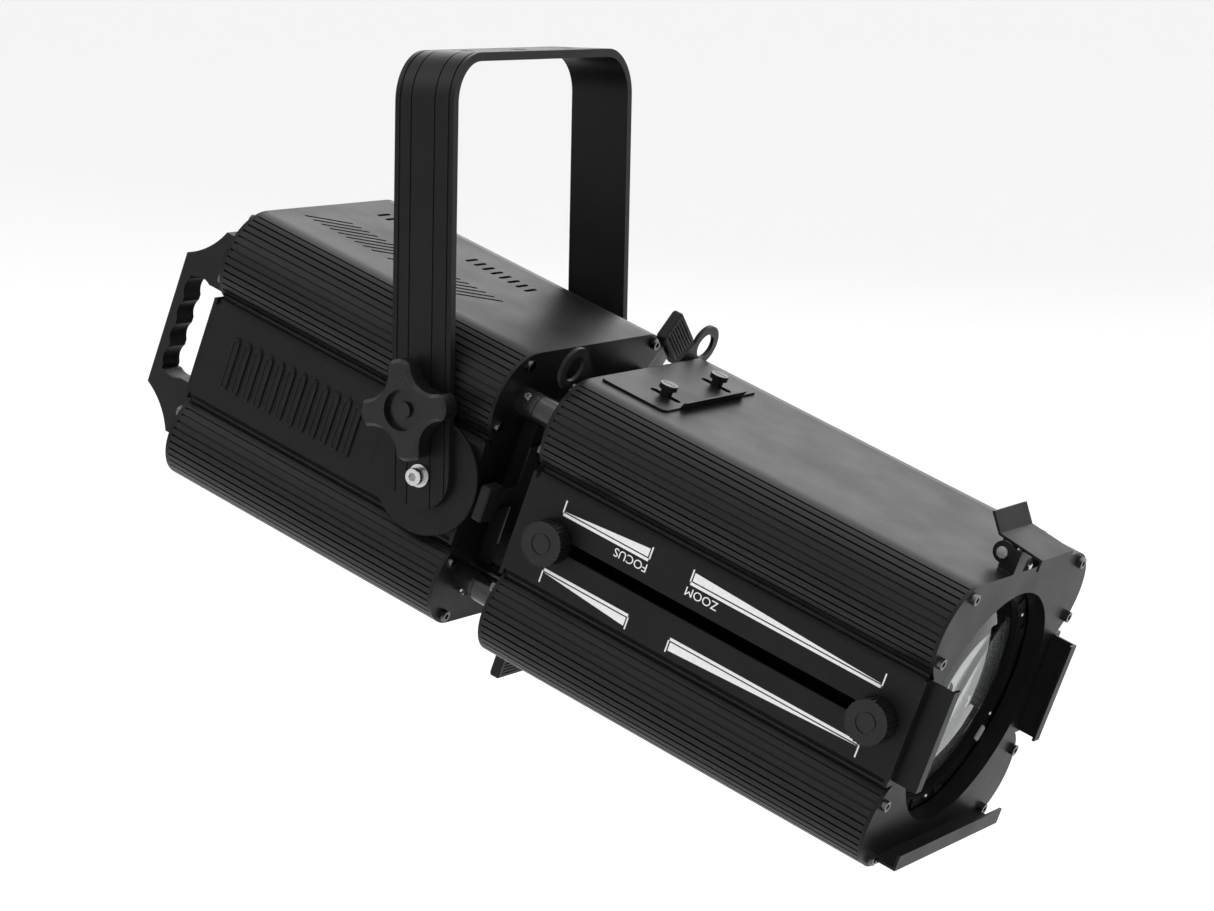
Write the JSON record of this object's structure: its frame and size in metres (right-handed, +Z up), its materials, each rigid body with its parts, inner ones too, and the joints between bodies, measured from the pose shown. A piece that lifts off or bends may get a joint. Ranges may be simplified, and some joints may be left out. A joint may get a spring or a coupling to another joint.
{
  "type": "ellipsoidal spotlight",
  "caption": "Zoom profile spotlight: finned black lamp head tilting in a flat yoke, with shutters, focus and zoom lenses on slide knobs and a colour frame holder.",
  "frame": {"origin": "top of the clamp hole in the middle of the yoke", "axes": "+Z up along the clamp hole, +X the side the beam leaves by, +Y to the right of the beam seen from behind turned about +Z, along the tilt axis"},
  "size_m": [0.7217, 0.3026, 0.5528],
  "materials": {
    "powder_black": "satin powder coat, fine texture",
    "anodised_black": "black anodised extrusion, satin",
    "black_plastic": "moulded, semi gloss",
    "handle_plastic": "fine moulded texture",
    "steel": "zinc plated, bright",
    "black_screws": "black oxide, socket heads",
    "blade_steel": "heat darkened stainless sheet",
    "lens_glass": "optical glass, clear",
    "bare_aluminium": "as extruded",
    "led_face": "phosphor over a white board",
    "reflector": "polished aluminium",
    "display_panel": "smoked display window",
    "socket_plastic": "moulded sockets"
  },
  "bodies": {
    "yoke": {"yoke": "powder_black", "clamp_shoes": "steel"},
    "clamp_knob_left": {"clamp_knob_left": "black_plastic"},
    "clamp_knob_right": {"clamp_knob_right": "black_plastic"},
    "shutter_left": {"shutter_left": "blade_steel", "shutter_grip_left": "handle_plastic"},
    "shutter_right": {"shutter_right": "blade_steel", "shutter_grip_right": "handle_plastic"},
    "shutter_top": {"shutter_top": "blade_steel", "shutter_grip_top": "handle_plastic"},
    "shutter_bottom": {"shutter_bottom": "blade_steel", "shutter_grip_bottom": "handle_plastic"},
    "cassette": {"effects_cassette": "powder_black"},
    "fan": {"fan_rotor": "handle_plastic"},
    "focus": {"focus_carriage": "powder_black", "focus_lens": "lens_glass", "focus_lens_ring": "powder_black"},
    "zoom": {"zoom_carriage": "powder_black", "zoom_lens": "lens_glass", "zoom_lens_ring": "powder_black"},
    "focus_knob": {"focus_knob": "black_plastic"},
    "zoom_knob": {"zoom_knob": "black_plastic"},
    "slot_cover": {"slot_cover": "powder_black"},
    "thumbscrew_left": {"thumbscrew_left": "black_plastic"},
    "thumbscrew_right": {"thumbscrew_right": "black_plastic"},
    "latch": {"top_latch": "powder_black"},
    "menu_knob": {"menu_knob": "black_plastic"},
    "head": {"bulkhead": "powder_black", "collimator": "reflector", "control_panel": "display_panel", "driver_box": "powder_black", "fan_frame": "handle_plastic", "front_bottom_panel": "powder_black", "front_plate": "powder_black", "front_rails_bottom": "anodised_black", "front_rails_top": "anodised_black", "front_side_left": "powder_black", "front_side_right": "powder_black", "front_top_panel": "powder_black", "gate_frame": "powder_black", "gate_plate": "powder_black", "guide_rods": "steel", "handle_left": "handle_plastic", "handle_right": "handle_plastic", "heat_sink": "bare_aluminium", "housing_screws": "black_screws", "latch_pin": "steel", "led_board": "led_face", "pivot_hardware": "steel", "post_screws": "steel", "rear_bottom_panel": "powder_black", "rear_plate": "powder_black", "rear_rails_bottom": "anodised_black", "rear_rails_top": "anodised_black", "rear_side_left": "powder_black", "rear_side_right": "powder_black", "rear_sockets": "socket_plastic", "rear_top_panel": "powder_black", "spacer_posts": "anodised_black", "tilt_discs": "powder_black"}
  },
  "joints": [
    {"name": "tilt", "type": "hinge", "parent": "yoke", "child": "head", "pos_m": [0, 0, -0.305], "axis": [0, 1, 0], "range_deg": [-75, 65]},
    {"name": "clamp_left", "type": "hinge", "parent": "yoke", "child": "clamp_knob_left", "pos_m": [0, -0.13, -0.255], "axis": [0, -1, 0], "range_deg": [-180, 30]},
    {"name": "clamp_right", "type": "hinge", "parent": "yoke", "child": "clamp_knob_right", "pos_m": [0, 0.13, -0.255], "axis": [0, 1, 0], "range_deg": [-180, 30]},
    {"name": "shutter_left_slide", "type": "slide", "parent": "head", "child": "shutter_left", "axis": [0, 1, 0], "range_m": [0, 0.028]},
    {"name": "shutter_right_slide", "type": "slide", "parent": "head", "child": "shutter_right", "axis": [0, -1, 0], "range_m": [0, 0.028]},
    {"name": "shutter_top_slide", "type": "slide", "parent": "head", "child": "shutter_top", "axis": [-0.2807, -0.5878, -0.7588], "range_m": [0, 0.013]},
    {"name": "shutter_bottom_slide", "type": "slide", "parent": "head", "child": "shutter_bottom", "axis": [0.3469, 0, 0.9379], "range_m": [0, 0.038]},
    {"name": "cassette_lift", "type": "slide", "parent": "head", "child": "cassette", "axis": [0.3469, 0, 0.9379], "range_m": [0, 0.09]},
    {"name": "fan_spin", "type": "hinge", "parent": "head", "child": "fan", "pos_m": [-0.14781, 0, -0.229], "axis": [0.9379, 0, -0.3469], "continuous": true},
    {"name": "focus_slide", "type": "slide", "parent": "head", "child": "focus", "axis": [0.9379, 0, -0.3469], "range_m": [0, 0.073]},
    {"name": "zoom_slide", "type": "slide", "parent": "head", "child": "zoom", "axis": [0.9379, 0, -0.3469], "range_m": [-0.16, 0]},
    {"name": "focus_lock", "type": "hinge", "parent": "focus", "child": "focus_knob", "pos_m": [0.10551, -0.11, -0.34403], "axis": [0, -1, 0], "range_deg": [-180, 30]},
    {"name": "zoom_lock", "type": "hinge", "parent": "zoom", "child": "zoom_knob", "pos_m": [0.36578, -0.11, -0.44031], "axis": [0, -1, 0], "range_deg": [-180, 30]},
    {"name": "cover_slide", "type": "slide", "parent": "head", "child": "slot_cover", "axis": [0.9379, 0, -0.3469], "range_m": [-0.007, 0.009]},
    {"name": "thumbscrew_left_turn", "type": "hinge", "parent": "head", "child": "thumbscrew_left", "pos_m": [0.15432, -0.038, -0.23947], "axis": [0.3469, 0, 0.9379], "range_deg": [-180, 180]},
    {"name": "thumbscrew_right_turn", "type": "hinge", "parent": "head", "child": "thumbscrew_right", "pos_m": [0.15432, 0.038, -0.23947], "axis": [0.3469, 0, 0.9379], "range_deg": [-180, 180]},
    {"name": "latch_swing", "type": "hinge", "parent": "head", "child": "latch", "pos_m": [0.41915, 0, -0.33061], "axis": [0, -1, 0], "range_deg": [0, 60], "stiffness_Nm_per_rad": 0.05, "springref_deg": -17.19},
    {"name": "menu_turn", "type": "hinge", "parent": "head", "child": "menu_knob", "pos_m": [-0.20288, 0.038, -0.1905], "axis": [-0.9379, 0, 0.3469], "continuous": true}
  ]
}
